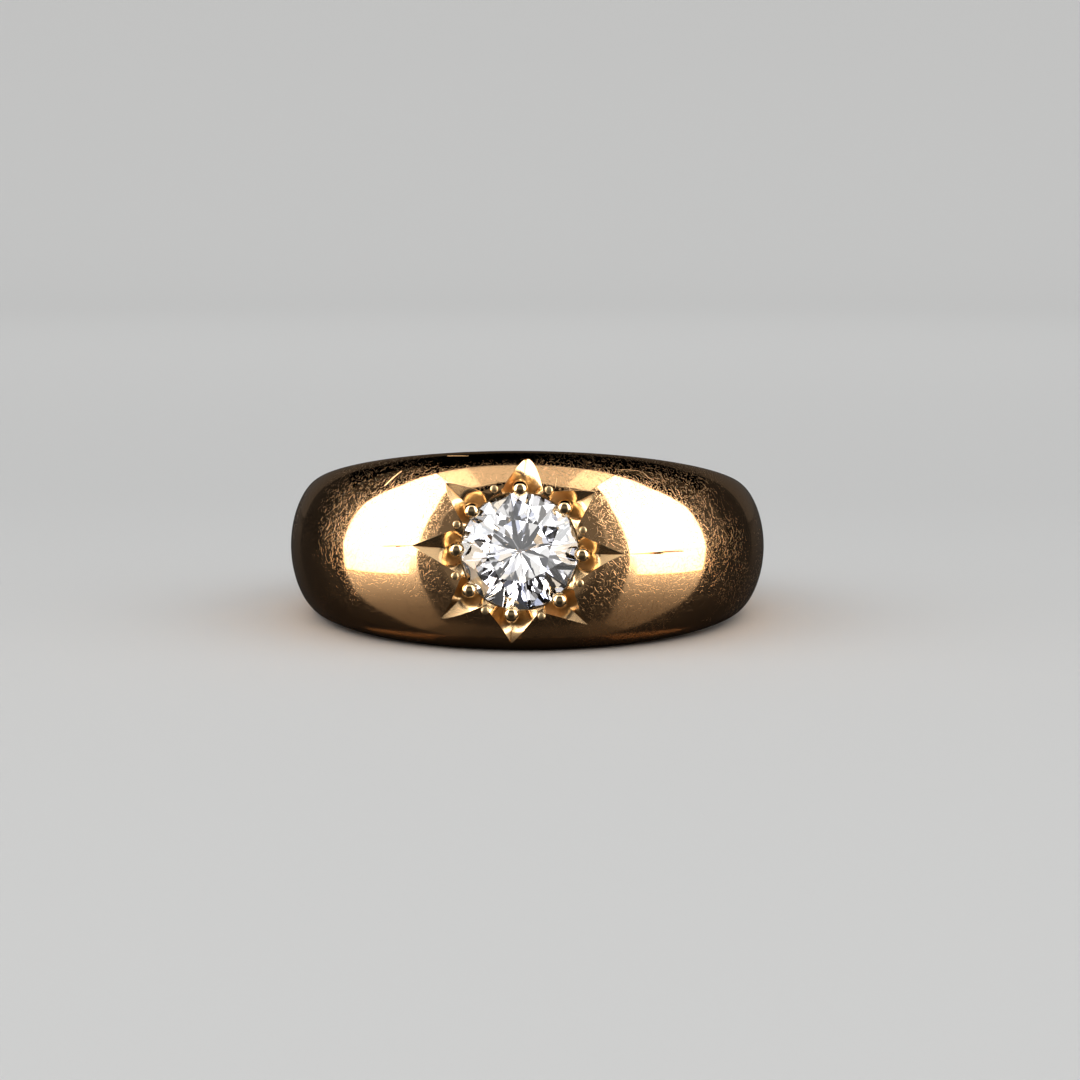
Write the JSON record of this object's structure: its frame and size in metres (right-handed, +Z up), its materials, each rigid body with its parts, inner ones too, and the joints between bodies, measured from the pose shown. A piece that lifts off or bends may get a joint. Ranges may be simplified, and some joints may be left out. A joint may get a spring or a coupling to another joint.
{
  "type": "starburst ring",
  "caption": "Domed gold finger ring, wide at the front and narrow at the back, with a round diamond set low in a star cut into the dome.",
  "frame": {"origin": "where the axis of the finger hole meets the surface that the ring rests on", "axes": "+Z up from the resting surface, -Y towards the stone, +X to the right of the stone as seen from the front; the finger hole's axis leans about 7 degrees from +Z towards +Y"},
  "size_m": [0.0214, 0.0224, 0.0082],
  "materials": {
    "gold": "polished yellow-rose gold with fine wear scratches, bright-cut inside the star",
    "diamond": "clear faceted stone"
  },
  "bodies": {
    "root": {"band": "gold", "diamond": "diamond"}
  },
  "joints": []
}
